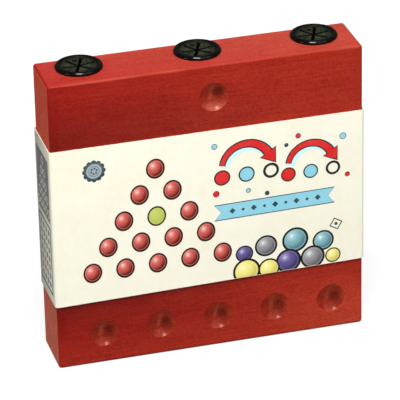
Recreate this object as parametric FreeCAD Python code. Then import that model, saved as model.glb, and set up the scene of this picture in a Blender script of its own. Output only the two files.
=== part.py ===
import FreeCAD, Part
import math
import os

# Triangle jump game, travel size, in millimetres.
#
# A wooden board stands on its lower edge, with its playing face towards -Y and +Z up. The origin is
# at the middle of the board's foot. The playing face has a triangle of shallow cups. Three bores run
# down from the upper edge and hold the marbles, one on top of the other. A rubber stopper with a
# star-slit diaphragm closes each bore, and a printed card band wraps the middle of the board.

# --- board ---
BOARD_WIDTH = 125.0
BOARD_HEIGHT = 121.5
BOARD_DEPTH = 24.0
BOARD_EDGE_RADIUS = 1.3

# --- cups on the playing face ---
CUP_ROWS = 5
CUP_SIDE_MARGIN = 13.3        # from the foot, the upper edge and the right side to the nearest cup axis
CUP_LEFT_MARGIN = 18.5        # from the left side to the nearest cup axis
CUP_SPHERE_RADIUS = 7.1
CUP_DEPTH = 3.1
CUP_LIP_RADIUS = 0.4          # rounding where a cup meets the face

# --- marbles ---
MARBLE_DIAMETER = 14.0
MARBLE_GAP = 0.2              # between two marbles, and under the lowest
LEFT_MARBLES = 5
MIDDLE_MARBLES = 4
RIGHT_MARBLES = 5

# --- bores for the marbles ---
BORE_LEFT_MARGIN = 16.0       # from the board's left side to the first bore axis
BORE_RIGHT_MARGIN = 15.3      # from the last bore axis to the board's right side
BORE_PLAY = 0.5               # around a marble
BORE_BACK_WALL = 1.1          # wood left behind the bore's mouth
RATTLE_SPACE = 6.5            # above a full column of marbles, up to the diaphragm

# --- rubber stoppers ---
COLLAR_LENGTH = 6.0
COLLAR_WALL = 1.0
COLLAR_PLAY = 0.3             # inside the collar, around a marble that passes
COLLAR_FIT = 0.05             # outside the collar, in the bore's mouth
COLLAR_LEAD = 0.4             # chamfer that leads the collar in
MOUTH_EXTRA_DEPTH = 0.3       # of the mouth, below the collar
FLANGE_LIP = 0.95             # flange beyond the mouth
FLANGE_HEIGHT = 1.5
FLANGE_ROUNDING = 0.7
RIM_WIDTH = 1.9               # raised ring around the diaphragm
RIM_SLOPE = 0.4               # how far the ring's inner side leans in
DIAPHRAGM_TOP = 1.0           # at its edge
DIAPHRAGM_SAG = 0.4           # how much lower its middle is
DIAPHRAGM_THICKNESS = 0.8
SLITS = 6
SLIT_WIDTH = 0.6
SLIT_REACH = 6.6              # from the axis to the end of a slit
SLIT_TURN = 8.5               # degrees from +X to the first slit
HUB_RADIUS = 0.8              # hole where the slits meet
GATE_MARK_RADIUS = 0.6        # moulding mark on one of the leaves
GATE_MARK_DEPTH = 0.35
GATE_MARK_REACH = 4.4
GATE_MARK_TURN = 99.5

# --- card band ---
BAND_FOOT = 28.0              # height of its lower edge
BAND_HEIGHT = 66.7
BAND_THICKNESS = 0.4
BAND_PLAY = 0.2               # around the board
BAND_LAP = 12.0               # width of the glued lap at the back

# --- lengths that follow ---
CUTTER_OVERRUN = 1.0
BORE_RADIUS = MARBLE_DIAMETER / 2 + BORE_PLAY
COLLAR_INNER_RADIUS = MARBLE_DIAMETER / 2 + COLLAR_PLAY
COLLAR_OUTER_RADIUS = COLLAR_INNER_RADIUS + COLLAR_WALL
MOUTH_RADIUS = COLLAR_OUTER_RADIUS + COLLAR_FIT
FLANGE_RADIUS = MOUTH_RADIUS + FLANGE_LIP
BORE_Y = BOARD_DEPTH / 2 - BORE_BACK_WALL - MOUTH_RADIUS
RIM_FOOT_RADIUS = FLANGE_RADIUS - RIM_WIDTH - RIM_SLOPE
DIAPHRAGM_UNDERSIDE = DIAPHRAGM_TOP - DIAPHRAGM_THICKNESS
DIAPHRAGM_LOWEST = DIAPHRAGM_UNDERSIDE - DIAPHRAGM_SAG
MARBLE_COUNTS = {"left": LEFT_MARBLES, "middle": MIDDLE_MARBLES, "right": RIGHT_MARBLES}
MARBLE_STEP = MARBLE_DIAMETER + MARBLE_GAP
BORE_FLOOR = BOARD_HEIGHT + DIAPHRAGM_LOWEST - RATTLE_SPACE - max(MARBLE_COUNTS.values()) * MARBLE_STEP
BORE_X = {
    "left": BORE_LEFT_MARGIN - BOARD_WIDTH / 2,
    "middle": (BORE_LEFT_MARGIN - BORE_RIGHT_MARGIN) / 2,
    "right": BOARD_WIDTH / 2 - BORE_RIGHT_MARGIN,
}


def vec(x, y, z):
    return FreeCAD.Vector(x, y, z)


def cylinder(radius, low, high):
    """A cylinder on the Z axis from one height to another."""
    return Part.makeCylinder(radius, high - low, vec(0, 0, low))


def revolved(edges):
    """The solid that a closed outline in the XZ plane sweeps around the Z axis."""
    face = Part.Face(Part.Wire(Part.__sortEdges__(edges)))
    return face.revolve(vec(0, 0, 0), vec(0, 0, 1), 360)


def line(a, b):
    return Part.LineSegment(a, b).toShape()


def arc(a, through, b):
    return Part.Arc(a, through, b).toShape()


def point_between(centre, radius, a, b):
    """The middle of the short arc from a to b around centre."""
    towards = (a - centre) + (b - centre)
    return centre + towards.normalize() * radius


def cup_cutter():
    """A cup's hollow with its axis on Z, opening at Z = 0: a spherical floor and a flared lip."""
    rise = CUP_SPHERE_RADIUS - CUP_DEPTH
    mouth = math.sqrt((CUP_SPHERE_RADIUS + CUP_LIP_RADIUS) ** 2 - (rise + CUP_LIP_RADIUS) ** 2)
    sphere_centre = vec(0, 0, rise)
    lip_centre = vec(mouth, 0, -CUP_LIP_RADIUS)
    out = (lip_centre - sphere_centre).normalize()
    floor = vec(0, 0, -CUP_DEPTH)
    tangent = sphere_centre + out * CUP_SPHERE_RADIUS
    edge = vec(mouth, 0, 0)
    top_outer = vec(mouth, 0, CUTTER_OVERRUN)
    top_inner = vec(0, 0, CUTTER_OVERRUN)
    return revolved([
        arc(floor, point_between(sphere_centre, CUP_SPHERE_RADIUS, floor, tangent), tangent),
        arc(tangent, point_between(lip_centre, CUP_LIP_RADIUS, tangent, edge), edge),
        line(edge, top_outer),
        line(top_outer, top_inner),
        line(top_inner, floor),
    ])


def cup_places():
    """The cup axes, as (x, z) on the playing face: one cup in the top row, one more in each below."""
    across = (BOARD_WIDTH - CUP_LEFT_MARGIN - CUP_SIDE_MARGIN) / (CUP_ROWS - 1)
    down = (BOARD_HEIGHT - 2 * CUP_SIDE_MARGIN) / (CUP_ROWS - 1)
    middle = (CUP_LEFT_MARGIN - CUP_SIDE_MARGIN) / 2
    for row in range(CUP_ROWS):
        z = BOARD_HEIGHT - CUP_SIDE_MARGIN - row * down
        for cup in range(row + 1):
            yield middle + (cup - row / 2) * across, z


def bore_cutter():
    """A bore with its wider mouth, on the Z axis."""
    shaft = cylinder(BORE_RADIUS, BORE_FLOOR, BOARD_HEIGHT)
    mouth_floor = BOARD_HEIGHT - COLLAR_LENGTH - MOUTH_EXTRA_DEPTH
    mouth = cylinder(MOUTH_RADIUS, mouth_floor, BOARD_HEIGHT + CUTTER_OVERRUN)
    return shaft.fuse(mouth)


def game_board():
    board = Part.makeBox(
        BOARD_WIDTH, BOARD_DEPTH, BOARD_HEIGHT, vec(-BOARD_WIDTH / 2, -BOARD_DEPTH / 2, 0)
    )
    board = board.makeFillet(BOARD_EDGE_RADIUS, board.Edges)
    cutters = []
    for x, z in cup_places():
        cup = cup_cutter()
        cup.rotate(vec(0, 0, 0), vec(1, 0, 0), 90)
        cup.translate(vec(x, -BOARD_DEPTH / 2, z))
        cutters.append(cup)
    for x in BORE_X.values():
        bore = bore_cutter()
        bore.translate(vec(x, BORE_Y, 0))
        cutters.append(bore)
    return board.cut(cutters)


def diaphragm_top_at(radius):
    """Height of the diaphragm's dished upper side at a distance from the axis."""
    return DIAPHRAGM_TOP - DIAPHRAGM_SAG * (1 - radius / RIM_FOOT_RADIUS)


def stopper_body():
    """Flange, collar and whole diaphragm, with the flange's underside at Z = 0."""
    rim_crest = FLANGE_RADIUS - RIM_WIDTH
    corner = FLANGE_RADIUS - FLANGE_ROUNDING
    bend = FLANGE_HEIGHT - FLANGE_ROUNDING
    below = [
        vec(0, 0, DIAPHRAGM_LOWEST),
        vec(COLLAR_INNER_RADIUS, 0, DIAPHRAGM_UNDERSIDE),
        vec(COLLAR_INNER_RADIUS, 0, -COLLAR_LENGTH),
        vec(COLLAR_OUTER_RADIUS - COLLAR_LEAD, 0, -COLLAR_LENGTH),
        vec(COLLAR_OUTER_RADIUS, 0, COLLAR_LEAD - COLLAR_LENGTH),
        vec(COLLAR_OUTER_RADIUS, 0, 0),
        vec(FLANGE_RADIUS, 0, 0),
        vec(FLANGE_RADIUS, 0, bend),
    ]
    above = [
        vec(corner, 0, FLANGE_HEIGHT),
        vec(rim_crest, 0, FLANGE_HEIGHT),
        vec(RIM_FOOT_RADIUS, 0, DIAPHRAGM_TOP),
        vec(0, 0, diaphragm_top_at(0)),
    ]
    bend_middle = point_between(vec(corner, 0, bend), FLANGE_ROUNDING, below[-1], above[0])
    edges = [line(a, b) for a, b in zip(below, below[1:])]
    edges.append(arc(below[-1], bend_middle, above[0]))
    edges += [line(a, b) for a, b in zip(above, above[1:])]
    edges.append(line(above[-1], below[0]))
    return revolved(edges)


def leaf_cutter(radius, low):
    """A cylinder on the Z axis from a height up through the diaphragm's upper side."""
    return cylinder(radius, low, DIAPHRAGM_TOP + CUTTER_OVERRUN)


def slit_cutter(turn):
    """One round-ended slit from the axis outwards, turned about Z."""
    low = DIAPHRAGM_LOWEST - CUTTER_OVERRUN
    end = SLIT_REACH - SLIT_WIDTH / 2
    high = DIAPHRAGM_TOP + CUTTER_OVERRUN
    slit = Part.makeBox(end, SLIT_WIDTH, high - low, vec(0, -SLIT_WIDTH / 2, low))
    rounding = leaf_cutter(SLIT_WIDTH / 2, low)
    rounding.translate(vec(end, 0, 0))
    slit = slit.fuse(rounding)
    slit.rotate(vec(0, 0, 0), vec(0, 0, 1), turn)
    return slit


def gate_mark_cutter():
    """The small round mark that the moulding leaves in the diaphragm."""
    turn = math.radians(GATE_MARK_TURN)
    mark = leaf_cutter(GATE_MARK_RADIUS, diaphragm_top_at(GATE_MARK_REACH) - GATE_MARK_DEPTH)
    mark.translate(vec(GATE_MARK_REACH * math.cos(turn), GATE_MARK_REACH * math.sin(turn), 0))
    return mark


def stopper():
    """A rubber stopper on the Z axis, whose leaves a marble can push open."""
    cutters = [slit_cutter(SLIT_TURN + i * 360 / SLITS) for i in range(SLITS)]
    cutters.append(leaf_cutter(HUB_RADIUS, DIAPHRAGM_LOWEST - CUTTER_OVERRUN))
    cutters.append(gate_mark_cutter())
    return stopper_body().cut(cutters)


def marble(x, number):
    """A marble in the bore at x, counted from 1 at the bottom."""
    z = BORE_FLOOR + MARBLE_GAP + MARBLE_DIAMETER / 2 + (number - 1) * MARBLE_STEP
    return Part.makeSphere(MARBLE_DIAMETER / 2, vec(x, BORE_Y, z))


def rounded_prism(width, depth, corner_radius):
    """An upright prism as high as the band, with rounded corners, around the Z axis."""
    prism = Part.makeBox(width, depth, BAND_HEIGHT, vec(-width / 2, -depth / 2, BAND_FOOT))
    upright = [e for e in prism.Edges if abs(e.tangentAt(e.FirstParameter).z) > 0.5]
    return prism.makeFillet(corner_radius, upright)


def paper_band():
    """A card sleeve around the board, with its ends glued over each other at the back."""
    inner_width = BOARD_WIDTH + 2 * BAND_PLAY
    inner_depth = BOARD_DEPTH + 2 * BAND_PLAY
    inner_corner = BOARD_EDGE_RADIUS + BAND_PLAY
    inside = rounded_prism(inner_width, inner_depth, inner_corner)
    outside = rounded_prism(
        inner_width + 2 * BAND_THICKNESS, inner_depth + 2 * BAND_THICKNESS, inner_corner + BAND_THICKNESS
    )
    back = inner_depth / 2 + BAND_THICKNESS
    lap = Part.makeBox(BAND_LAP, BAND_THICKNESS, BAND_HEIGHT, vec(-BAND_LAP / 2, back, BAND_FOOT))
    return outside.cut(inside).fuse(lap)


def save(name, shape):
    shape.exportStep(os.path.join("parts", name + ".step"))


os.makedirs("parts", exist_ok=True)
save("game_board", game_board())
save("paper_band", paper_band())
for side, x in BORE_X.items():
    plug = stopper()
    plug.translate(vec(x, BORE_Y, BOARD_HEIGHT))
    save("stopper_" + side, plug)
    for number in range(1, MARBLE_COUNTS[side] + 1):
        save("marble_" + side + "_" + str(number), marble(x, number))
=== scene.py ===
import math
import random

import bmesh
import bpy
from mathutils import Matrix, Vector


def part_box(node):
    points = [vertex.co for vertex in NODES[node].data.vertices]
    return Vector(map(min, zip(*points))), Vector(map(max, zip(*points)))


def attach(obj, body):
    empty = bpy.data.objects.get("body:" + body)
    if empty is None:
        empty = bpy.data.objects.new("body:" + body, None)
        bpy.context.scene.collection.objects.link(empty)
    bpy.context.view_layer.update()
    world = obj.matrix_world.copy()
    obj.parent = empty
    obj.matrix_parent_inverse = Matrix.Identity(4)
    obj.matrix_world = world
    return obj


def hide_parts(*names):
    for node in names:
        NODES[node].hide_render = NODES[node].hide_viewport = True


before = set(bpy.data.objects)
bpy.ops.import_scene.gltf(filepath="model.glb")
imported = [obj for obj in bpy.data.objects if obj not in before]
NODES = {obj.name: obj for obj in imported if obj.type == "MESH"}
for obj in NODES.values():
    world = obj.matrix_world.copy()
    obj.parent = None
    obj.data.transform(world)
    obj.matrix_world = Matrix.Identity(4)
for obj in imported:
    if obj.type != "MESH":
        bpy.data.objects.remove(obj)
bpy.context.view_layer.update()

# Dresses the triangle jump game: dyed wood, a printed card band, moulded rubber stoppers and glass
# marbles. Blender's lengths are metres. Shapes are written in millimetres, and mm() turns them
# into metres. Colours are linear.

MM = 0.001
BOARD_LOW, BOARD_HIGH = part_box("game_board")
BAND_LOW, BAND_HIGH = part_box("paper_band")
SIDES = ("left", "middle", "right")


def mm(value):
    return value * MM


def linked(name, data):
    """A new object for a mesh, a lamp or a camera, in the scene."""
    made = bpy.data.objects.new(name, data)
    bpy.context.scene.collection.objects.link(made)
    return made


def closed_mesh(name, bm, material, sharp_angle=None):
    """A mesh of bm with its normals facing out, and smooth up to sharp_angle if that is given."""
    bmesh.ops.recalc_face_normals(bm, faces=bm.faces)
    mesh = bpy.data.meshes.new(name)
    bm.to_mesh(mesh)
    bm.free()
    if sharp_angle:
        mesh.shade_smooth()
        mesh.set_sharp_from_angle(angle=math.radians(sharp_angle))
    mesh.materials.append(material)
    return mesh


# ---------------------------------------------------------------- materials
class Shader:
    """A material's node tree, with short calls for the nodes that are used here."""

    def __init__(self, name):
        self.material = bpy.data.materials.new(name)
        self.material.use_nodes = True
        self.tree = self.material.node_tree
        self.tree.nodes.clear()
        self.output = self.tree.nodes.new("ShaderNodeOutputMaterial")
        self.here = self.node("TexCoord").outputs["Object"]

    def node(self, kind, settings=None, **inputs):
        made = self.tree.nodes.new("ShaderNode" + kind)
        for key, value in (settings or {}).items():
            setattr(made, key, value)
        for key, value in inputs.items():
            self.feed(made.inputs[key.replace("_", " ")], value)
        return made

    def feed(self, socket, value):
        if isinstance(value, bpy.types.NodeSocket):
            self.tree.links.new(value, socket)
        else:
            socket.default_value = value

    def math(self, operation, *values):
        made = self.node("Math", {"operation": operation})
        for socket, value in zip(made.inputs, values):
            self.feed(socket, value)
        return made.outputs[0]

    def times(self, a, b):
        return self.math("MULTIPLY", a, b)

    def minus(self, a, b):
        return self.math("SUBTRACT", a, b)

    def absolute(self, value):
        return self.math("ABSOLUTE", value)

    def length(self, a, b):
        """How far the place (a, b) lies from the origin."""
        squares = [self.math("POWER", value, 2.0) for value in (a, b)]
        return self.math("SQRT", self.math("ADD", *squares))

    def total(self, *terms):
        """The sum of (value, weight) terms."""
        result = 0.0
        for value, weight in terms:
            result = self.math("MULTIPLY_ADD", value, weight, result)
        return result

    def stretched(self, *scale):
        """Object coordinates, scaled along each axis."""
        return self.node("Mapping", Vector=self.here, Scale=scale).outputs[0]

    def noise(self, vector, scale, detail=4.0, rough=0.5, distortion=0.0):
        made = self.node(
            "TexNoise", Vector=vector, Scale=scale, Detail=detail, Roughness=rough,
            Distortion=distortion,
        )
        return made.outputs["Fac"]

    def axes(self, vector=None):
        """The x, y and z of a vector, or of the place on the object."""
        return tuple(self.node("SeparateXYZ", Vector=vector or self.here).outputs)

    def normal(self):
        return self.axes(self.node("NewGeometry").outputs["Normal"])

    def ramp(self, factor, *stops):
        """A colour ramp from (position, colour) stops."""
        made = self.node("ValToRGB", Fac=factor)
        elements = made.color_ramp.elements
        while len(elements) < len(stops):
            elements.new(0.5)
        for element, (position, colour) in zip(elements, stops):
            element.position = position
            element.color = (*colour, 1)
        return made.outputs["Color"]

    def fade(self, value, low, high, start=0.0, end=1.0, shape="SMOOTHSTEP"):
        """From start to end while value goes from low to high."""
        made = self.node("MapRange", {"interpolation_type": shape}, Value=value)
        limits = (("From Min", low), ("From Max", high), ("To Min", start), ("To Max", end))
        for name, setting in limits:
            self.feed(made.inputs[name], setting)
        return made.outputs[0]

    def fade_out(self, value, low, high):
        """From 1 to 0 while value goes from low to high."""
        return self.fade(value, low, high, 1.0, 0.0)

    def mix(self, factor, a, b, blend="MIX"):
        made = self.node("Mix", {"data_type": "RGBA", "blend_type": blend})
        for index, value in ((0, factor), (6, a), (7, b)):
            self.feed(made.inputs[index], (*value, 1) if isinstance(value, tuple) else value)
        return made.outputs[2]

    def tinted(self, colour, tint):
        return self.mix(1.0, colour, tint, blend="MULTIPLY")

    def bump(self, height, strength, distance):
        made = self.node("Bump", Height=height, Strength=strength, Distance=distance)
        return made.outputs[0]

    def principled(self, **inputs):
        made = self.node("BsdfPrincipled", **inputs)
        self.tree.links.new(made.outputs[0], self.output.inputs["Surface"])
        return self.material


def blended(a, b, part):
    """The colour that is part a and the rest b."""
    return tuple(p * part + q * (1 - part) for p, q in zip(a, b))


GRAIN_DARK = (0.50, 0.27, 0.36)
GRAIN_MID = (0.81, 0.53, 0.57)
GRAIN_LIGHT = (1.00, 1.00, 1.00)
WOOD_RED = (0.335, 0.0178, 0.0105)
# Painted light: the lighter orange and the foot's tone. Painted sheen: the top's greyer tones.
# Painted shade: the darker tone by the band.
WOOD_LIT_ORANGE = (0.440, 0.0450, 0.0200)
WOOD_TOP_SHEEN = (0.355, 0.0380, 0.0260)
WOOD_TOP_FAR_SHEEN = (0.390, 0.0690, 0.0400)
WOOD_LIT_FOOT = (0.515, 0.0720, 0.0290)
WOOD_BAND_SHADE = (0.165, 0.0075, 0.0062)
# The ends' tone: end grain that takes the stain lighter, with painted sheen, and a painted
# reflection of the floor towards the foot.
WOOD_END_AND_SHEEN = (0.785, 0.1600, 0.0840)
WOOD_END_FLOOR_REFLECTION = (0.775, 0.2700, 0.1580)
# Stain thinned at the edges, with a painted highlight.
WOOD_WORN_AND_HIGHLIT = (0.330, 0.0640, 0.0310)
WOOD_GLEAM = (1.00, 0.72, 0.62)
# A tint for painted shade on the edges' lower turn.
EDGE_SHADE_TINT = (0.72, 0.62, 0.64)
# Cup tones: the floor dimmed and the upper wall lightened, as painted shade and light.
CUP_LOWER_WALL_DIMMED = (0.230, 0.0320, 0.0150)
CUP_UPPER_WALL_LIGHTENED = (0.650, 0.1000, 0.0400)
CUP_LEFT_TINT = (1.05, 0.80, 0.85)
CUP_STREAK = (0.640, 0.1500, 0.0750)
# A painted shade spot.
CUP_SHADE_SPOT = (0.165, 0.0220, 0.0100)
# Painted light on the cups' lower lips, paler in the top cup.
CUP_LIT_LIP = (0.255, 0.0420, 0.0230)
TOP_CUP_LIT_LIP = (0.370, 0.1050, 0.0560)

EDGE_WEAR_AND_HIGHLIGHT_WIDTH = mm(1.5)

# The triangle of cups, as it is cut in the board: its first column, its lowest row, and the steps
# between columns and rows.
CUP_COLUMNS_FROM = mm(-44.0)
CUP_ROWS_FROM = mm(13.3)
CUP_PITCH = mm(23.3)
CUP_ROW_PITCH = mm(23.725)
# Depths below the face over which the cups' tones come in at the mouth, and end below the floor.
CUP_MOUTH = (mm(-0.05), mm(0.30))
CUP_FLOOR = (mm(3.4), mm(3.8))
# No cup lies this near to the board's edges, where the rounded edges have a cup's depth too.
CUP_MARGIN_LOW = mm(3.5)
CUP_MARGIN_HIGH = mm(4.0)
# Heights over which the other cups' tones change to the top cup's.
TOP_CUP_FROM = (mm(90), mm(95))
CUP_RAGGEDNESS = 0.003


def top_edge_closeness(s):
    """1 along the board's long upper edges, where the stain wears thin and a highlight is painted,
    to 0 further in.
    """
    _, y, z = s.axes()
    off_middle = s.absolute(s.minus(y, (BOARD_LOW.y + BOARD_HIGH.y) / 2))
    from_side = s.minus((BOARD_HIGH.y - BOARD_LOW.y) / 2, off_middle)
    from_top = s.minus(BOARD_HIGH.z, z)
    near_side, near_top = (s.fade_out(gap, 0.0, EDGE_WEAR_AND_HIGHLIGHT_WIDTH) for gap in (from_side, from_top))
    return s.fade(s.times(near_side, near_top), 0.25, 0.70)


def cup_depth_mask(s):
    """1 inside the cups of the playing face, 0 on the face and on the rest of the board."""
    x, y, z = s.axes()
    below_face = s.minus(y, BOARD_LOW.y)
    inside = s.times(s.fade(below_face, *CUP_MOUTH), s.fade_out(below_face, *CUP_FLOOR))
    end, top = BOARD_HIGH.x, BOARD_HIGH.z
    in_width = s.fade_out(s.absolute(x), end - CUP_MARGIN_HIGH, end - CUP_MARGIN_LOW)
    above_foot = s.fade(z, CUP_MARGIN_LOW, CUP_MARGIN_HIGH)
    below_top = s.fade_out(z, top - CUP_MARGIN_HIGH, top - CUP_MARGIN_LOW)
    return s.times(inside, s.times(in_width, s.times(above_foot, below_top)))


def cup_colour(s, tone, blotches):
    """Cups browned by the cutter, a streak at the left, and painted light and shade: a dimmed
    floor, a lightened upper wall, lighter lower lips and a shade spot opposite the streak.

    Each cup is shaded alike, by how far across and up from its middle a place is, apart from the
    top one, which is paler.
    """
    x, _, z = s.axes()
    rows = s.math("DIVIDE", s.minus(z, CUP_ROWS_FROM), CUP_ROW_PITCH)
    row = s.math("ROUND", rows)
    columns = s.math("DIVIDE", s.minus(x, CUP_COLUMNS_FROM), CUP_PITCH)
    columns = s.math("MULTIPLY_ADD", row, -0.5, columns)
    across = s.times(s.minus(columns, s.math("ROUND", columns)), CUP_PITCH)
    up = s.times(s.minus(rows, row), CUP_ROW_PITCH)
    ragged_up = s.total((up, 1.0), (blotches, CUP_RAGGEDNESS), (-CUP_RAGGEDNESS / 2, 1.0))

    # Painted shade and light: the lower wall dimmed, the upper wall lightened.
    cut = s.mix(s.fade(ragged_up, mm(-3.8), mm(4.2)), CUP_LOWER_WALL_DIMMED, CUP_UPPER_WALL_LIGHTENED)
    cut = s.mix(s.fade_out(across, mm(-3.2), mm(-1.0)), cut, s.tinted(cut, CUP_LEFT_TINT))

    # Painted light on the cups' lower lips, paler in the top cup.
    lit_lip = s.mix(s.fade(z, *TOP_CUP_FROM), CUP_LIT_LIP, TOP_CUP_LIT_LIP)
    lit_lip_reach = s.fade(z, *TOP_CUP_FROM, mm(-3.0), mm(-1.7))
    cut = s.mix(s.fade(ragged_up, mm(-5.2), lit_lip_reach, 1.0, 0.0, shape="LINEAR"), cut, lit_lip)

    ragged_across = s.total((across, 1.0), (up, -0.2), (blotches, CUP_RAGGEDNESS), (-0.0011, 1.0))
    by_height = s.fade(up, mm(-3.0), mm(1.2), 0.08, 1.0)
    streak = s.times(s.fade(s.absolute(ragged_across), 0.0, mm(1.4), 0.85, 0.0), by_height)
    cut = s.mix(streak, cut, CUP_STREAK)

    # A painted shade spot at the upper right, higher in the top cup.
    spot_height = s.fade(z, *TOP_CUP_FROM, mm(-1.3), mm(0.8))
    off_spot = s.length(s.minus(across, mm(2.8)), s.times(s.minus(up, spot_height), 0.70))
    cut = s.mix(s.fade(off_spot, mm(0.5), mm(3.2), 0.85, 0.0), cut, CUP_SHADE_SPOT)
    return s.mix(cup_depth_mask(s), tone, cut)


def face_tone(s, blotches):
    """The stain on the face and top, with painted shade by the band and on the lower edges, painted
    light (more orange) to the right and the foot, and painted sheen on top.
    """
    x, y, z = s.axes()
    _, _, normal_z = s.normal()
    # Painted shade: darker towards the band from above and below, more so to the left.
    by_band = s.times(s.fade(z, mm(8), BAND_LOW.z), s.fade_out(z, BAND_HIGH.z, BOARD_HIGH.z))
    to_left = s.fade(s.total((x, 1.0), (blotches, 0.02)), mm(0), mm(53), 0.80, 0.15)
    tone = s.mix(s.times(by_band, to_left), WOOD_RED, WOOD_BAND_SHADE)
    # Painted light: lighter and more orange to the right and towards the foot.
    to_right = s.fade(s.total((x, 1.0), (blotches, 0.05)), mm(-45), mm(75), 0.0, 0.70)
    tone = s.mix(to_right, tone, WOOD_LIT_ORANGE)
    by_foot = s.fade(s.total((z, 1.0), (blotches, 0.01)), mm(3), mm(22), 0.65, 0.0)
    tone = s.mix(by_foot, tone, WOOD_LIT_ORANGE)
    # Painted shade where the rounded edges turn downwards.
    painted_edge_shade = s.times(s.fade(normal_z, 0.03, 0.30), s.fade_out(normal_z, 0.55, 0.90))
    tone = s.mix(painted_edge_shade, tone, s.tinted(tone, EDGE_SHADE_TINT))
    # Painted light: lighter still at the right of the foot.
    right_foot = s.times(s.fade(x, mm(15), mm(60)), s.fade_out(z, mm(10), mm(28)))
    tone = s.mix(right_foot, tone, WOOD_LIT_FOOT)
    # Painted sheen: the top face greyer, more so towards the back and the right.
    far = s.fade(s.total((x, 1.0), (y, 3.0)), mm(-80), mm(55))
    on_top = s.fade(normal_z, 0.80, 0.98, 0.0, 0.90)
    return s.mix(on_top, tone, s.mix(far, WOOD_TOP_SHEEN, WOOD_TOP_FAR_SHEEN))


def wood_material():
    """Close-grained hardwood stained red, with pores, blotches, thin-stained edges that carry a
    painted highlight, and brown cups with painted light and shade.

    The numbers of stretched() are a texture's fineness along each axis: the grain runs along X.
    """
    s = Shader("dyed_wood_grain")
    fibres = s.noise(s.stretched(50, 1250, 1250), 1.0, detail=5, rough=0.65)
    streaks = s.noise(s.stretched(9, 150, 150), 1.0, detail=5, rough=0.60, distortion=0.5)
    bands = s.noise(s.stretched(3, 36, 36), 1.0, detail=3, rough=0.5, distortion=0.8)
    blotches = s.noise(s.here, 34.0, detail=4, rough=0.62)
    pores = s.noise(s.stretched(190, 1500, 1500), 1.0, detail=2, rough=0.5)
    speckle = s.noise(s.stretched(1300, 2300, 2300), 1.0, detail=2, rough=0.6)
    grain = s.total(
        (fibres, 0.30), (streaks, 0.10), (bands, 0.05), (blotches, 0.11), (speckle, 0.44)
    )
    texture = s.ramp(grain, (0.36, GRAIN_DARK), (0.50, GRAIN_MID), (0.66, GRAIN_LIGHT))
    texture = s.mix(s.fade(pores, 0.60, 0.72, 0.0, 0.40), texture, GRAIN_DARK)

    _, _, z = s.axes()
    normal_x, _, _ = s.normal()
    # End faces: end grain lighter in the stain, with painted sheen, greying towards the foot as a
    # painted reflection of the floor.
    on_end = s.fade(s.absolute(normal_x), 0.86, 0.99)
    end_height = s.total((z, 1.0), (blotches, 0.03), (-0.015, 1.0))
    end_tone = s.mix(s.fade_out(end_height, 0.0, BOARD_HIGH.z), WOOD_END_AND_SHEEN, WOOD_END_FLOOR_REFLECTION)
    tone = s.mix(on_end, face_tone(s, blotches), end_tone)
    tone = cup_colour(s, tone, blotches)
    # Along the long upper edges: stain thinned, and a painted highlight.
    worn_and_highlit = s.times(top_edge_closeness(s), s.fade(blotches, 0.35, 0.62, 0.0, 0.40))
    colour = s.mix(worn_and_highlit, s.tinted(tone, texture), WOOD_WORN_AND_HIGHLIT)

    in_cup = cup_depth_mask(s)
    rough = s.times(s.fade(grain, 0.38, 0.62, 0.46, 0.38), s.fade(in_cup, 0.0, 1.0, 1.0, 0.45))
    sheen = s.times(s.fade(in_cup, 0.0, 1.0, 0.13, 0.09), s.fade(on_end, 0.0, 1.0, 1.0, 0.25))
    relief = s.total((fibres, 0.60), (pores, -0.25), (streaks, 0.15))
    return s.principled(
        Base_Color=colour, Roughness=s.math("MULTIPLY_ADD", on_end, 0.30, rough),
        Normal=s.bump(relief, 0.16, mm(0.10)), Specular_IOR_Level=sheen,
        Specular_Tint=(*WOOD_GLEAM, 1),
    )


CARD_CREAM = (0.882, 0.858, 0.722)
CARD_SHADE = (0.850, 0.815, 0.645)
CARD_END_SHADE = (0.420, 0.405, 0.340)
CARD_CUT_EDGE_SHADE = (0.560, 0.530, 0.420)


def card_material():
    """Coated cream card: faint fibres and mottling, with painted shade on the ends towards the back
    and on the cut edges.
    """
    s = Shader("printed_card_stock")
    mottle = s.noise(s.here, 60.0, detail=4, rough=0.6)
    fibres = s.noise(s.stretched(500, 900, 350), 1.0, detail=3, rough=0.6)
    colour = s.ramp(s.total((mottle, 0.6), (fibres, 0.4)), (0.34, CARD_SHADE), (0.58, CARD_CREAM))
    _, y, _ = s.axes()
    normal_x, _, normal_z = s.normal()
    # Painted shade: the ends darker towards the back.
    rearwards = s.fade(s.total((y, 1.0), (mottle, 0.004)), mm(-9), mm(16), 0.0, 0.80)
    on_end = s.fade(s.absolute(normal_x), 0.6, 0.95)
    colour = s.mix(s.times(on_end, rearwards), colour, CARD_END_SHADE)
    # Painted shade on the cut edges.
    colour = s.mix(s.fade(s.absolute(normal_z), 0.6, 0.9), colour, CARD_CUT_EDGE_SHADE)
    return s.principled(
        Base_Color=colour, Roughness=s.fade(fibres, 0.3, 0.7, 0.55, 0.45),
        Normal=s.bump(fibres, 0.05, mm(0.05)), Specular_IOR_Level=0.30,
    )


def ink_material(name, colour, lift):
    """Offset ink on card: the card shows through a little, here and there."""
    s = Shader("ink_" + name)
    light = tuple(c + lift * (1.0 - c) for c in colour)
    cover = s.noise(s.here, 700.0, detail=3, rough=0.6)
    mottle = s.noise(s.here, 90.0, detail=3)
    mixed = s.mix(s.fade(cover, 0.52, 0.80, 0.0, 0.55), colour, light)
    mixed = s.mix(s.fade(mottle, 0.35, 0.70, 0.0, 0.25), mixed, light)
    return s.principled(Base_Color=mixed, Roughness=0.45, Specular_IOR_Level=0.10)


# Parts of a printed ball, as shares of its radius.
BALL_GLINT_AT = (-0.28, 0.34)
BALL_RING = 0.765
BALL_OUTLINE = (0.815, 0.865)
BALL_OUTLINE_INK = (0.014, 0.010, 0.008)


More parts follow.
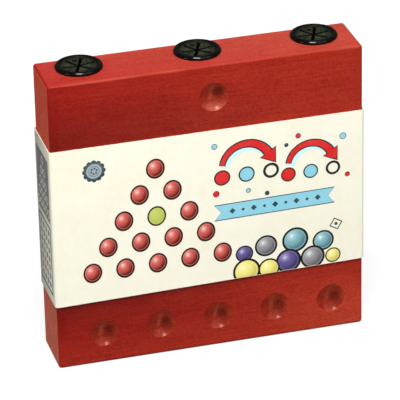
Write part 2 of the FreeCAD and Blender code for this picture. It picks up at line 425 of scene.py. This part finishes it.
def ball_ink_material(name, glint, core, rim):
    """A printed ball on its UV disc: a glint, a dark lower right, a light ring and an outline."""
    s = Shader("ink_ball_" + name)
    u, v, _ = s.axes(s.node("UVMap", {"uv_map": "disc"}).outputs[0])
    off_glint = s.length(s.minus(u, BALL_GLINT_AT[0]), s.minus(v, BALL_GLINT_AT[1]))
    grit = s.noise(s.here, 1500.0, detail=2)
    away = s.total((off_glint, 0.77), (grit, 0.22), (-0.11, 1.0))
    pale, deep = blended(glint, core, 0.35), blended(core, rim, 0.60)
    shade = s.ramp(away, (0.02, glint), (0.16, pale), (0.34, core), (0.56, deep), (0.78, rim))
    reach = s.length(u, v)
    off_ring = s.absolute(s.minus(reach, BALL_RING))
    ring_ink = blended(glint, core, 0.22)
    shade = s.mix(s.fade(off_ring, 0.010, 0.060, 0.55, 0.0), shade, ring_ink)
    colour = s.mix(s.fade(reach, *BALL_OUTLINE), shade, BALL_OUTLINE_INK)
    return s.principled(Base_Color=colour, Roughness=0.42, Specular_IOR_Level=0.10)


RUBBER_BLACK = (0.0018, 0.0021, 0.0015)
# The diaphragm's olive: dust, and partly painted sheen.
RUBBER_OLIVE = (0.027, 0.029, 0.016)
# Distances from the axis over which the dust and painted sheen thin out, and the diaphragm gives
# way to the ring.
DUST_AND_SHEEN_THIN = (mm(4.6), mm(7.6))
RING_FROM = (mm(7.9), mm(8.2))


def rubber_material():
    """Moulded black rubber: a glossy ring, and a matt diaphragm inside it with olive dust and
    painted sheen.
    """
    s = Shader("moulded_black_rubber")
    _, _, height = s.axes()
    dust = s.noise(s.here, 800.0, detail=4, rough=0.65)
    skin = s.noise(s.here, 1500.0, detail=3, rough=0.55)
    from_axis = s.node("VectorMath", {"operation": "LENGTH"})
    s.feed(from_axis.inputs[0], s.stretched(1, 1, 0))
    off_axis = s.total((from_axis.outputs["Value"], 1.0), (dust, 0.001))
    inside = s.times(s.fade_out(height, mm(1.02), mm(1.16)), s.fade(height, mm(0.20), mm(0.30)))
    inside = s.times(inside, s.fade(off_axis, *DUST_AND_SHEEN_THIN, 1.0, 0.45))
    # The olive stays off the leaves' lips along the slits and off the gate mark: painted shade
    # there.
    leaf = s.node("Attribute", {"attribute_name": "leaf"}).outputs["Fac"]
    on_flat = s.times(inside, s.fade(leaf, 0.58, 0.88))
    # Dust and painted sheen on the diaphragm's flats, in patches.
    dust_and_sheen = s.times(on_flat, s.fade(dust, 0.40, 0.58, 0.30, 1.0))
    return s.principled(
        Base_Color=s.mix(dust_and_sheen, RUBBER_BLACK, RUBBER_OLIVE),
        Roughness=s.fade(off_axis, *RING_FROM, 0.50, 0.13),
        Normal=s.bump(skin, s.fade(dust_and_sheen, 0.0, 0.5, 0.0, 0.25), mm(0.04)),
        Specular_IOR_Level=s.fade(off_axis, *RING_FROM, 0.06, 0.14),
    )


MARBLE_DEEP = (0.28, 0.006, 0.006)
MARBLE_RED = (0.52, 0.014, 0.012)
MARBLE_PALE = (0.68, 0.060, 0.045)


def marble_material():
    """Solid red glass with a faint swirl under a polished skin."""
    s = Shader("red_marble_glass")
    place = s.stretched(60, 60, 60)
    swirl = s.noise(place, 1.6, detail=3, rough=0.5, distortion=2.2)
    scuff = s.noise(place, 9.0, detail=4, rough=0.7)
    return s.principled(
        Base_Color=s.ramp(swirl, (0.30, MARBLE_DEEP), (0.55, MARBLE_RED), (0.78, MARBLE_PALE)),
        Roughness=s.fade(scuff, 0.5, 0.8, 0.05, 0.16), Specular_IOR_Level=0.6,
        Coat_Weight=0.8, Coat_Roughness=0.03,
    )


# ---------------------------------------------------------------- stoppers
STOPPER_SLITS = 6
SLIT_TURN = 8.5
SLIT_HALF_WIDTH = 0.42
SLIT_REACH = 6.6
HUB_RADIUS = 0.8
LEAF_SAG = 0.4
LEAF_SAG_RADIUS = 7.0
LEAF_EDGE_HEIGHT = 1.0
LEAF_THICKNESS = 0.8
LEAF_DROOP_MOST = 0.22
LEAF_ROWS = 24
LEAF_STEPS = 24
LIP_WIDTH = 0.50
LIP_DROP = 0.26
LIP_FADE = 5
RIM_ROLL = 0.80
RIM_FLATNESS = 1.5
RIM_STEPS = 8
DIAPHRAGM_INSET = 2.25
COLLAR_WALL = 1.0
GATE_MARK_RADIUS = 0.95
GATE_MARK_DEPTH = 0.38
GATE_MARK_OUT = 4.4
GATE_MARK_TURN = 99.5
RUBBER_SHARP_ANGLE = 42
DROOP_SEED = 11


def ring_profile(radius, height, collar):
    """(radius, height) points in mm, from the diaphragm over the ring and down the collar."""
    points = [
        (SLIT_REACH, leaf_height(SLIT_REACH)), (radius - 2.42, 0.995), (radius - 2.30, 1.03),
        (radius - 2.18, 1.12), (radius - 2.05, 1.26), (radius - 1.90, height - 0.12),
        (radius - 1.70, height - 0.04), (radius - 1.40, height),
    ]
    for step in range(RIM_STEPS + 1):
        turn = math.radians(90 - 90 * step / RIM_STEPS)
        out, rise = math.cos(turn) ** RIM_FLATNESS, math.sin(turn) ** RIM_FLATNESS
        points.append((radius - RIM_ROLL + RIM_ROLL * out, height - RIM_ROLL + RIM_ROLL * rise))
    outer = radius - 1.0
    inner = outer - COLLAR_WALL
    points += [
        (radius, 0.20), (radius - 0.06, 0.06), (radius - 0.20, 0.0), (outer + 0.02, 0.0),
        (outer, -0.05), (outer, 0.4 - collar), (outer - 0.4, -collar), (inner, -collar),
        (inner, 0.2), (SLIT_REACH, leaf_height(SLIT_REACH) - LEAF_THICKNESS),
    ]
    return points


def leaf_height(radius, droop=0.0, from_lip=1.0):
    """Height of a leaf's upper side in mm. from_lip goes from 0 at a slit to 1 on the flat."""
    inwards = 1 - radius / SLIT_REACH
    base = LEAF_EDGE_HEIGHT - LEAF_SAG * (1 - radius / LEAF_SAG_RADIUS)
    lip = LIP_DROP * (1 - from_lip) ** 2 * min(1.0, LIP_FADE * inwards)
    return base - droop * inwards ** 2 - lip


def leaf_side(step):
    """From -1 to 1 across a leaf, with the steps closer together near its slits."""
    return math.sin(math.pi * (step / LEAF_STEPS - 0.5))


def leaf_turn(leaf, radius, step):
    """The angle of a step across a leaf, whose edges keep the slits' width at every radius."""
    half = math.pi / STOPPER_SLITS - math.asin(SLIT_HALF_WIDTH / radius)
    centre = math.radians(SLIT_TURN) + (2 * leaf + 1) * math.pi / STOPPER_SLITS
    return centre + leaf_side(step) * half


def gate_mark_depth(radius, turn):
    """Depth in mm of the round mark that the mould's gate leaves on one leaf."""
    place = Vector((radius * math.cos(turn), radius * math.sin(turn)))
    mark_turn = math.radians(GATE_MARK_TURN)
    mark = Vector((GATE_MARK_OUT * math.cos(mark_turn), GATE_MARK_OUT * math.sin(mark_turn)))
    return GATE_MARK_DEPTH * max(0.0, 1 - ((place - mark).length / GATE_MARK_RADIUS) ** 2)


def stopper_mesh(name, radius, height, collar, rubber, rng):
    """One closed mesh: a lathed ring and collar whose inner circle carries six leaves."""
    bm = bmesh.new()
    leaf_weight = bm.verts.layers.float.new("leaf")

    def vertex(r, turn, z, weight):
        made = bm.verts.new((mm(r) * math.cos(turn), mm(r) * math.sin(turn), mm(z)))
        made[leaf_weight] = weight
        return made

    turns = [
        leaf_turn(leaf, SLIT_REACH, step)
        for leaf in range(STOPPER_SLITS) for step in range(LEAF_STEPS + 1)
    ]
    rows = []
    for r, z in ring_profile(radius, height, collar):
        weight = 1.0 if r < radius - DIAPHRAGM_INSET and z > 0 else 0.0
        rows.append([vertex(r, turn, z, weight) for turn in turns])
    count = len(turns)
    for low, high in zip(rows, rows[1:]):
        for i in range(count):
            j = (i + 1) % count
            bm.faces.new((low[i], low[j], high[j], high[i]))

    radii = [HUB_RADIUS + (SLIT_REACH - HUB_RADIUS) * row / LEAF_ROWS for row in range(LEAF_ROWS)]
    for leaf in range(STOPPER_SLITS):
        droop = rng.uniform(0.0, LEAF_DROOP_MOST)
        first = leaf * (LEAF_STEPS + 1)
        top, under = [], []
        for r in radii:
            top_row, under_row = [], []
            for step in range(LEAF_STEPS + 1):
                turn = leaf_turn(leaf, r, step)
                from_slit = r * (math.pi / STOPPER_SLITS) * (1 - abs(leaf_side(step)))
                from_lip = min(1.0, from_slit / LIP_WIDTH, (r - HUB_RADIUS) / LIP_WIDTH)
                pit = gate_mark_depth(r, turn)
                # Weight 0 along the slits' lips and in the gate mark keeps the olive off them:
                # painted shade.
                weight = from_lip if pit == 0 else 0.0
                top_row.append(vertex(r, turn, leaf_height(r, droop, from_lip) - pit, weight))
                under_row.append(vertex(r, turn, leaf_height(r, droop) - LEAF_THICKNESS, 0.0))
            top.append(top_row)
            under.append(under_row)
        top.append(rows[0][first:first + LEAF_STEPS + 1])
        under.append(rows[-1][first:first + LEAF_STEPS + 1])
        for low in range(LEAF_ROWS):
            high = low + 1
            for i in range(LEAF_STEPS):
                j = i + 1
                bm.faces.new((top[low][i], top[high][i], top[high][j], top[low][j]))
                bm.faces.new((under[low][i], under[low][j], under[high][j], under[high][i]))
            for i in (0, LEAF_STEPS):
                bm.faces.new((top[low][i], under[low][i], under[high][i], top[high][i]))
        for i in range(LEAF_STEPS):
            bm.faces.new((top[0][i], top[0][i + 1], under[0][i + 1], under[0][i]))
        last, following = first + LEAF_STEPS, (first + LEAF_STEPS + 1) % count
        bm.faces.new((rows[0][last], rows[0][following], rows[-1][following], rows[-1][last]))
    return closed_mesh(name, bm, rubber, RUBBER_SHARP_ANGLE)


def stoppers():
    rubber = rubber_material()
    rng = random.Random(DROOP_SEED)
    for side in SIDES:
        node = "stopper_" + side
        low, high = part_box(node)
        radius = (high.x - low.x) / 2 / MM
        height = (high.z - BOARD_HIGH.z) / MM
        collar = (BOARD_HIGH.z - low.z) / MM
        name = "rubber_" + side
        piece = linked(name, stopper_mesh(name, radius, height, collar, rubber, rng))
        piece.location = ((low.x + high.x) / 2, (low.y + high.y) / 2, BOARD_HIGH.z)
        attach(piece, node)
        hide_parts(node)


# ---------------------------------------------------------------- card band
BAND_INSET = 0.06
BAND_ROWS = 12
CARD_THICKNESS = 0.40
CARD_SHARP_ANGLE = 30
FOLD_RADIUS = 1.3
FOLD_STEPS = 8
LAP_HALF = 6.0
LAP_EDGE = 0.01
LAP_RAMP = 3.0
LAP_STEPS = 6
BACK_SLACK = 0.013
# The card is cut a little askew: its lower edge climbs by FOOT_CLIMB of the way to the right.
FOOT_RISE = 0.55
FOOT_CLIMB = 0.0165
TOP_SHORTFALL = 0.4


def card_foot(x):
    """Height in mm of the card's lower edge."""
    return BAND_LOW.z / MM + FOOT_RISE + FOOT_CLIMB * x


def band_outline():
    """(x, y, outward x, outward y) points in mm around the sleeve and its lap, and its back's y."""
    half_x = BAND_HIGH.x / MM - BAND_INSET
    front = BAND_LOW.y / MM + BAND_INSET
    lap_face = BAND_HIGH.y / MM - BAND_INSET
    back = lap_face - CARD_THICKNESS
    points = []

    def fold(x, y, start):
        for step in range(FOLD_STEPS + 1):
            turn = math.radians(start + 90 * step / FOLD_STEPS)
            out_x, out_y = math.cos(turn), math.sin(turn)
            points.append((x + FOLD_RADIUS * out_x, y + FOLD_RADIUS * out_y, out_x, out_y))

    fold(-half_x + FOLD_RADIUS, front + FOLD_RADIUS, 180)
    fold(half_x - FOLD_RADIUS, front + FOLD_RADIUS, 270)
    fold(half_x - FOLD_RADIUS, back - FOLD_RADIUS, 0)
    points += [(LAP_HALF, back, 0, 1), (LAP_HALF - LAP_EDGE, lap_face, 0, 1)]
    for step in range(LAP_STEPS + 1):
        part = step / LAP_STEPS
        rise = 0.5 + 0.5 * math.cos(math.pi * part)
        y = back + (lap_face - back) * rise
        points.append((-LAP_HALF - LAP_RAMP * (part - 0.5), y, 0, 1))
    fold(-half_x + FOLD_RADIUS, back - FOLD_RADIUS, 90)
    return points, back


def band_piece(card):
    """The sleeve as one closed mesh, with the lap's cut edge at the back."""
    outline, back = band_outline()
    top = BAND_HIGH.z / MM - TOP_SHORTFALL
    bm = bmesh.new()
    outer, inner = [], []
    for row in range(BAND_ROWS + 1):
        outer_row, inner_row = [], []
        for x, y, out_x, out_y in outline:
            z = card_foot(x) + (top - card_foot(x)) * row / BAND_ROWS
            on_back = y > back - BACK_SLACK
            inner_y = back - CARD_THICKNESS if on_back else y - CARD_THICKNESS * out_y
            outer_row.append(bm.verts.new((mm(x), mm(y), mm(z))))
            inner_row.append(bm.verts.new((mm(x - CARD_THICKNESS * out_x), mm(inner_y), mm(z))))
        outer.append(outer_row)
        inner.append(inner_row)
    count = len(outline)
    for i in range(count):
        j = (i + 1) % count
        for low in range(BAND_ROWS):
            high = low + 1
            bm.faces.new((outer[low][i], outer[low][j], outer[high][j], outer[high][i]))
            bm.faces.new((inner[low][j], inner[low][i], inner[high][i], inner[high][j]))
        bm.faces.new((outer[0][j], outer[0][i], inner[0][i], inner[0][j]))
        bm.faces.new((outer[-1][i], outer[-1][j], inner[-1][j], inner[-1][i]))
    piece = linked("card_sleeve", closed_mesh("card_sleeve", bm, card, CARD_SHARP_ANGLE))
    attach(piece, "paper_band")
    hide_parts("paper_band")


# ---------------------------------------------------------------- print on the band
INK_STEP = 0.02
CIRCLE_STEPS = 64
# The print climbs by PRINT_TURN of the way to the right, about PRINT_PIVOT. Its discs end at
# PRINT_FOOT, and no print comes nearer than PRINT_MARGIN to the card's lower edge.
PRINT_TURN = 0.0162
PRINT_PIVOT = -21.0
PRINT_FOOT = 28.4
PRINT_MARGIN = 0.15
MITRE_LIMIT = 0.4


class Print:
    """Flat closed ink chips in one mesh, on the front or the left face of the band."""

    def __init__(self, name, material, layer, face="front"):
        self.name = name
        self.material = material
        self.out = INK_STEP * layer
        self.face = face
        self.bm = bmesh.new()
        self.uv = self.bm.loops.layers.uv.new("disc")

    def point(self, a, b, out):
        """The place at a across and b up the face and out from it, all in mm."""
        if self.face == "left":
            return Vector((BAND_LOW.x + mm(BAND_INSET - out), mm(-a), mm(b)))
        lifted = max(b + PRINT_TURN * (a - PRINT_PIVOT), card_foot(a) + PRINT_MARGIN)
        return Vector((mm(a), BAND_LOW.y + mm(BAND_INSET - out), mm(lifted)))

    def build(self, faces, outline, disc=None):
        """A chip from faces over the outline's points, with its back, and walls along its rims.

        disc is (a, b, half width, half height) of the disc that its UVs lie on, from -1 to 1.
        """
        front = [self.bm.verts.new(self.point(a, b, self.out)) for a, b in outline]
        back = [self.bm.verts.new(self.point(a, b, 0.0)) for a, b in outline]
        uses = {}
        made = []
        for face in faces:
            made.append(self.bm.faces.new([front[i] for i in face]))
            made.append(self.bm.faces.new([back[i] for i in reversed(face)]))
            for i, j in zip(face, face[1:] + face[:1]):
                key = (min(i, j), max(i, j))
                uses[key] = None if key in uses else (i, j)
        for i, j in filter(None, uses.values()):
            made.append(self.bm.faces.new((front[j], front[i], back[i], back[j])))
        if disc:
            a, b, half_width, half_height = disc
            places = {v: outline[k % len(outline)] for k, v in enumerate(front + back)}
            for face in made:
                for loop in face.loops:
                    at = places[loop.vert]
                    loop[self.uv].uv = ((at[0] - a) / half_width, (at[1] - b) / half_height)

    def polygon(self, points, disc=None):
        self.build([list(range(len(points)))], points, disc)

    def disc(self, a, b, radius, steps=CIRCLE_STEPS, tall=1.0):
        turns = [2 * math.pi * i / steps for i in range(steps)]
        points = around((a, b), radius, turns, tall)
        self.polygon(clipped(points), (a, b, radius, tall * radius))

    def stroke(self, points, width, closed=False):
        """A line through the points, with one width or one for each point."""
        count = len(points)
        widths = width if isinstance(width, list) else [width] * count
        outline = []
        for i, here in enumerate(points):
            here = Vector(here)
            before = Vector(points[i - 1]) if i or closed else None
            after = Vector(points[(i + 1) % count]) if i < count - 1 or closed else None
            ahead = (after - here).normalized() if after else (here - before).normalized()
            behind = (here - before).normalized() if before else ahead
            across = square_to(ahead + behind).normalized()
            reach = widths[i] / 2 / max(MITRE_LIMIT, across.dot(square_to(ahead)))
            outline += [tuple(here + across * reach), tuple(here - across * reach)]
        faces = []
        for i in range(count if closed else count - 1):
            j = (i + 1) % count
            faces.append([2 * i + 1, 2 * j + 1, 2 * j, 2 * i])
        self.build(faces, outline)

    def ring(self, a, b, radius, width, steps=48):
        turns = [math.radians(360 * i / steps) for i in range(steps)]
        self.stroke(around((a, b), radius, turns), width, closed=True)

    def finish(self):
        piece = linked(self.name, closed_mesh(self.name, self.bm, self.material))
        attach(piece, "paper_band")


def around(middle, radius, turns, tall=1.0):
    """Points at some angles of a circle, or of an oval that is tall times as high as it is wide."""
    a, b = middle
    return [(a + radius * math.cos(t), b + tall * radius * math.sin(t)) for t in turns]


def square_to(flat):
    """The flat vector a quarter turn counter-clockwise."""
    return Vector((-flat.y, flat.x))


def clipped(points):
    """The outline's part above PRINT_FOOT, so that the print ends before the card does."""
    kept = []
    for here, after in zip(points, points[1:] + points[:1]):
        if here[1] >= PRINT_FOOT:
            kept.append(here)
        if (here[1] >= PRINT_FOOT) != (after[1] >= PRINT_FOOT):
            part = (PRINT_FOOT - here[1]) / (after[1] - here[1])
            kept.append((here[0] + part * (after[0] - here[0]), PRINT_FOOT))
    return kept


DIAGRAM_TOP = (-21.45, 81.67)
DIAGRAM_ACROSS = 13.11
DIAGRAM_DOWN = 10.19
DIAGRAM_RADIUS = 3.76
DIAGRAM_TALL = 1.13
DIAGRAM_LAYER = 2
EMPTY_PLACE = (2, 1)
TRIANGLE_ROWS = 5
RED_BALL = ((0.840, 0.600, 0.540), (0.640, 0.112, 0.088), (0.130, 0.0120, 0.0090))
GREEN_PLACE = ((0.570, 0.620, 0.170), (0.520, 0.570, 0.130), (0.450, 0.500, 0.100))


def triangle():
    """(row, place, columns from the middle) of each place in a triangle, from its top."""
    return [
        (row, place, place - row / 2)
        for row in range(TRIANGLE_ROWS) for place in range(row + 1)
    ]


def print_diagram():
    """The board's plan: fourteen balls and one empty place."""
    balls = Print("print_balls", ball_ink_material("red", *RED_BALL), DIAGRAM_LAYER)
    empty = Print("print_empty_place", ball_ink_material("green", *GREEN_PLACE), DIAGRAM_LAYER)
    for row, place, columns in triangle():
        a = DIAGRAM_TOP[0] + columns * DIAGRAM_ACROSS
        b = DIAGRAM_TOP[1] - row * DIAGRAM_DOWN
        chips = empty if (row, place) == EMPTY_PLACE else balls
        chips.disc(a, b, DIAGRAM_RADIUS, tall=DIAGRAM_TALL)
    balls.finish()
    empty.finish()


# Each ink's colour, and how much of the white card shows through it.
INKS = {
    "black": ((0.016, 0.016, 0.018), 0.05),
    "blue_black": ((0.022, 0.060, 0.080), 0.10),
    "turquoise": ((0.245, 0.590, 0.715), 0.16),
    "pale_turquoise": ((0.560, 0.850, 0.850), 0.30),
    "red": ((0.640, 0.020, 0.018), 0.08),
    "grey": ((0.150, 0.150, 0.150), 0.25),
    "mist": ((0.300, 0.380, 0.400), 0.20),
    "pale_grey": ((0.580, 0.570, 0.520), 0.08),
}


class Artwork:
    """Prints by name: one mesh for each ink, layer and face, made when it is first used."""

    def __init__(self):
        self.prints = {}
        self.materials = {}

    def on(self, ink, layer, face="front"):
        if ink not in self.materials:
            self.materials[ink] = ink_material(ink, *INKS[ink])
        key = (ink, layer, face)
        if key not in self.prints:
            name = "print_" + face + "_" + ink + "_" + str(layer)
            self.prints[key] = Print(name, self.materials[ink], layer, face)
        return self.prints[key]

    def finish(self):
        for made in self.prints.values():
            made.finish()


# (a, b, size) of each jump arrow, at the foot of its middle.
JUMPS = [(15.0, 73.2, 10.4), (41.0, 70.2, 9.6)]
ARC_FROM = 172
ARC_TO = 26
ARC_TALL = 0.95
ARC_STEPS = 28


def print_jump(art, a, b, size):
    """A marble's jump: an arched arrow from a red disc, over a turquoise one, to an empty ring."""
    step, disc, line = 0.95 * size, 0.26 * size, 0.055 * size
    turns = [ARC_FROM + (ARC_TO - ARC_FROM) * i / ARC_STEPS for i in range(ARC_STEPS + 1)]
    path = around((a, b + 0.36 * size), step, map(math.radians, turns), ARC_TALL)
    tip = Vector(path[-1])
    ahead = (tip - Vector(path[-3])).normalized()
    across = square_to(ahead)

    def head(grow):
        heel, half = tip - ahead * grow * 0.6, 0.32 * size + grow
        point = tip + ahead * (0.46 * size + 1.6 * grow)
        return [tuple(heel - across * half), tuple(point), tuple(heel + across * half)]

    shadow = [(x + 0.09 * size, y - 0.09 * size) for x, y in path]
    taper = [size * (0.16 + 0.14 * i / ARC_STEPS) for i in range(ARC_STEPS + 1)]
    art.on("pale_turquoise", 1).stroke(shadow, [width + 0.20 * size for width in taper])
    art.on("black", 2).stroke(path, [width + 0.10 * size for width in taper])
    art.on("black", 2).polygon(head(line))
    art.on("red", 3).stroke(path, taper)
    art.on("red", 3).polygon(head(0.0))
    for offset, ink in ((-step, "red"), (0.0, "turquoise")):
        art.on("black", 2).disc(a + offset, b, disc + line)
        art.on(ink, 3).disc(a + offset, b, disc)
    art.on("black", 2).ring(a + step, b, disc, 0.10 * size)


def lozenge(a, b, half):
    return [(a - half, b), (a, b - half), (a + half, b), (a, b + half)]


RIBBON_LEFT, RIBBON_RIGHT = 2.0, 50.5
RIBBON_LOW, RIBBON_HIGH = 55.2, 61.4
RIBBON_NOTCH = 2.6
RIBBON_LINE = 0.38


def print_ribbon(art):
    """A turquoise ribbon with cut ends and a row of small lozenges."""
    middle = (RIBBON_LOW + RIBBON_HIGH) / 2

    def outline(grow):
        left, right = RIBBON_LEFT - grow, RIBBON_RIGHT + grow
        low, high = RIBBON_LOW - grow, RIBBON_HIGH + grow
        notch = RIBBON_NOTCH + 0.6 * grow
        return [
            (left, low), (right, low), (right - notch, middle),
            (right, high), (left, high), (left + notch, middle),
        ]

    art.on("blue_black", 1).polygon(outline(RIBBON_LINE))
    art.on("turquoise", 2).polygon(outline(0.0))
    for place in range(9):
        half = 1.25 if place % 2 == 0 else 0.75
        art.on("blue_black", 3).polygon(lozenge(RIBBON_LEFT + 7.0 + place * 4.35, middle, half))


# (a, b, radius, ink) of each marble in the heap, from the back one to the front one.
MARBLE_HEAP = [
    (34.5, 41.2, 5.4, "teal"), (22.5, 40.6, 4.6, "grey"), (46.0, 39.0, 4.4, "teal"),
    (13.6, 38.6, 3.6, "purple"), (41.6, 32.4, 5.0, "grey"), (14.4, 30.8, 5.6, "yellow"),
    (31.6, 32.4, 5.2, "purple"), (23.6, 30.4, 4.4, "yellow"), (50.0, 31.8, 3.2, "yellow"),
]
HEAP_LAYER_STEP = 0.22
HEAP_COLOURS = {
    "yellow": ((0.960, 0.940, 0.560), (0.860, 0.800, 0.240), (0.620, 0.540, 0.130)),
    "grey": ((0.780, 0.780, 0.780), (0.300, 0.300, 0.310), (0.120, 0.120, 0.130)),
    "teal": ((0.700, 0.860, 0.880), (0.230, 0.460, 0.500), (0.080, 0.200, 0.240)),
    "purple": ((0.560, 0.520, 0.760), (0.130, 0.100, 0.290), (0.050, 0.040, 0.130)),
}


def print_heap():
    """A heap of marbles at the card's lower right, each overlapping those behind it."""
    inks = {name: ball_ink_material(name, *colours) for name, colours in HEAP_COLOURS.items()}
    for number, (a, b, radius, ink) in enumerate(MARBLE_HEAP):
        layer = 1 + HEAP_LAYER_STEP * number
        chip = Print("print_heap_" + str(number), inks[ink], layer)
        chip.disc(a, b, radius)
        chip.finish()


ROSETTE_AT = (-45.7, 84.6)
SQUARE_AT = (51.3, 45.4)
# (a, b, radius, ink) of each spot of confetti.
CONFETTI = [
    (2.2, 87.0, 0.95, "turquoise"), (36.0, 86.2, 0.85, "red"), (54.2, 83.2, 1.15, "turquoise"),
    (2.6, 66.6, 1.10, "red"), (23.2, 63.6, 0.70, "blue_black"), (56.0, 66.4, 0.80, "red"),
    (31.2, 83.0, 0.60, "blue_black"), (15.6, 66.0, 0.75, "turquoise"),
]


def print_small_marks(art):
    """A rosette at the upper left, confetti around the arrows, and a small tilted square."""
    for a, b in around(ROSETTE_AT, 3.6, [2 * math.pi * petal / 12 for petal in range(12)]):
        art.on("blue_black", 1).disc(a, b, 1.05, steps=24)
    art.on("mist", 2).disc(*ROSETTE_AT, 3.55)
    art.on("blue_black", 3).ring(*ROSETTE_AT, 3.3, 0.42)
    art.on("grey", 3).ring(*ROSETTE_AT, 2.1, 0.30)
    for a, b in around(ROSETTE_AT, 1.15, [2 * math.pi * dot / 6 + 0.3 for dot in range(6)]):
        art.on("blue_black", 3).disc(a, b, 0.42, steps=20)
    for a, b, radius, ink in CONFETTI:
        art.on("black", 1).disc(a, b, radius + 0.25, steps=32)
        art.on(ink, 2).disc(a, b, radius, steps=32)
    corners = around(SQUARE_AT, 2.5, (0.25, 1.82, 3.39, 4.96))
    art.on("blue_black", 1).stroke(corners, 0.45, closed=True)
    art.on("blue_black", 1).disc(*SQUARE_AT, 0.7, steps=24)


def rectangle(half, low, high):
    return [(-half, low), (half, low), (half, high), (-half, high)]


def print_left_side(art):
    """Plain ornament: a triangle of pale rings on a grey panel, above a framed lattice."""
    art.on("grey", 1, "left").polygon(rectangle(9.4, 62.8, 89.2))
    rings = art.on("pale_grey", 2, "left")
    for row, _, columns in triangle():
        rings.ring(columns * 3.9, 85.8 - row * 4.9, 1.45, 0.75, steps=28)
    art.on("blue_black", 1, "left").stroke(rectangle(9.0, 31.6, 60.2), 0.9, closed=True)
    for row in range(7):
        for place in range(4):
            at = ((place - 1.5) * 3.9, 34.7 + row * 3.75)
            art.on("grey", 1, "left").polygon(lozenge(*at, 1.45))


def print_artwork():
    print_diagram()
    art = Artwork()
    for jump in JUMPS:
        print_jump(art, *jump)
    print_ribbon(art)
    print_small_marks(art)
    print_left_side(art)
    art.finish()
    print_heap()


def dress():
    wood, glass = wood_material(), marble_material()
    NODES["game_board"].data.materials[0] = wood
    for name, node in NODES.items():
        if name.startswith("marble"):
            node.data.materials[0] = glass
    stoppers()
    band_piece(card_material())
    print_artwork()


# ---------------------------------------------------------------- stage
# The lamps: the direction from the board's middle, the distance and width in metres, and watts.
LAMPS = {
    "key_lamp": ((-0.13, -0.39, 0.92), 1.0, 0.32, 14.9),
    "side_lamp": ((-0.85, -0.25, 0.46), 1.0, 0.30, 1.75),
    "softbox": ((0.24, -0.62, 0.75), 1.1, 1.2, 6.3),
    "back_lamp": ((0.38, 0.92, 0.10), 1.0, 0.60, 6.0),
}
NOT_REFLECTED = "back_lamp"
SURROUND_LEVEL = 0.14
FLOOR_HALF = 15.0
FLOOR_DROP = mm(0.05)
FLOOR_SEEN = 0.88
FLOOR_UNSEEN = 0.25
FLOOR_GLOW = 0.75


def lamp(name, towards, distance, size, power):
    """A square soft lamp that shines on the board's middle from a direction."""
    light = bpy.data.lights.new(name, "AREA")
    light.shape = "SQUARE"
    light.size = size
    light.energy = power
    made = linked(name, light)
    towards = Vector(towards).normalized()
    made.location = Vector((0, 0, BOARD_HIGH.z / 2)) + towards * distance
    made.rotation_euler = towards.to_track_quat("Z", "Y").to_euler()
    made.visible_glossy = name != NOT_REFLECTED


def studio_floor():
    """A pale floor that the camera sees as white, and that keeps the board's shadow."""
    half = FLOOR_HALF
    corners = [(-half, -half, 0), (half, -half, 0), (half, half, 0), (-half, half, 0)]
    mesh = bpy.data.meshes.new("studio_floor")
    mesh.from_pydata(corners, [], [(0, 1, 2, 3)])
    floor = linked("studio_floor", mesh)
    floor.location.z = -FLOOR_DROP
    s = Shader("studio_white")
    seen = s.node("LightPath").outputs["Is Camera Ray"]
    tint = s.mix(seen, (FLOOR_UNSEEN,) * 3, (FLOOR_SEEN,) * 3)
    plain = s.node("BsdfDiffuse", Color=tint)
    glow = s.node("Emission", Color=(1, 1, 1, 1), Strength=1.0)
    blend = s.node("MixShader", Fac=s.times(seen, FLOOR_GLOW))
    s.tree.links.new(plain.outputs[0], blend.inputs[1])
    s.tree.links.new(glow.outputs[0], blend.inputs[2])
    s.tree.links.new(blend.outputs[0], s.output.inputs["Surface"])
    mesh.materials.append(s.material)


def studio():
    """The floor and the lamps, in a surround that is white to the camera and lights softly."""
    studio_floor()
    world = bpy.data.worlds.new("studio_world")
    bpy.context.scene.world = world
    world.use_nodes = True
    tree = world.node_tree
    path = tree.nodes.new("ShaderNodeLightPath")
    level = tree.nodes.new("ShaderNodeMapRange")
    level.inputs["To Min"].default_value = SURROUND_LEVEL
    level.inputs["To Max"].default_value = 1.0
    tree.links.new(path.outputs["Is Camera Ray"], level.inputs["Value"])
    background = tree.nodes["Background"]
    background.inputs["Color"].default_value = (1, 1, 1, 1)
    tree.links.new(level.outputs[0], background.inputs["Strength"])
    for name, settings in LAMPS.items():
        lamp(name, *settings)


CAMERA_AZIMUTH = math.radians(-15.21)
CAMERA_ELEVATION = math.radians(26.55)
CAMERA_ROLL = math.radians(-1.29)
CAMERA_DISTANCE = 1.2836
CAMERA_TARGET = Vector((mm(-0.56), 0, mm(59.0)))
CAMERA_LENS = 294.8


def camera():
    """A long lens from the front left and above, turned a little about its own axis."""
    flat = math.cos(CAMERA_ELEVATION)
    back = Vector((
        math.sin(CAMERA_AZIMUTH) * flat, -math.cos(CAMERA_AZIMUTH) * flat,
        math.sin(CAMERA_ELEVATION),
    ))
    right = (-back).cross(Vector((0, 0, 1))).normalized()
    up = right.cross(-back)
    turned_right = right * math.cos(CAMERA_ROLL) + up * math.sin(CAMERA_ROLL)
    turned_up = up * math.cos(CAMERA_ROLL) - right * math.sin(CAMERA_ROLL)
    data = bpy.data.cameras.new("photo_camera")
    data.sensor_width = 36.0
    data.lens = CAMERA_LENS
    data.clip_start = 0.05
    view = linked("photo_camera", data)
    axes = Matrix((turned_right, turned_up, back)).transposed().to_4x4()
    view.matrix_world = Matrix.Translation(CAMERA_TARGET + back * CAMERA_DISTANCE) @ axes
    bpy.context.scene.camera = view


dress()
studio()
camera()
bpy.context.scene.view_settings.view_transform = "Standard"
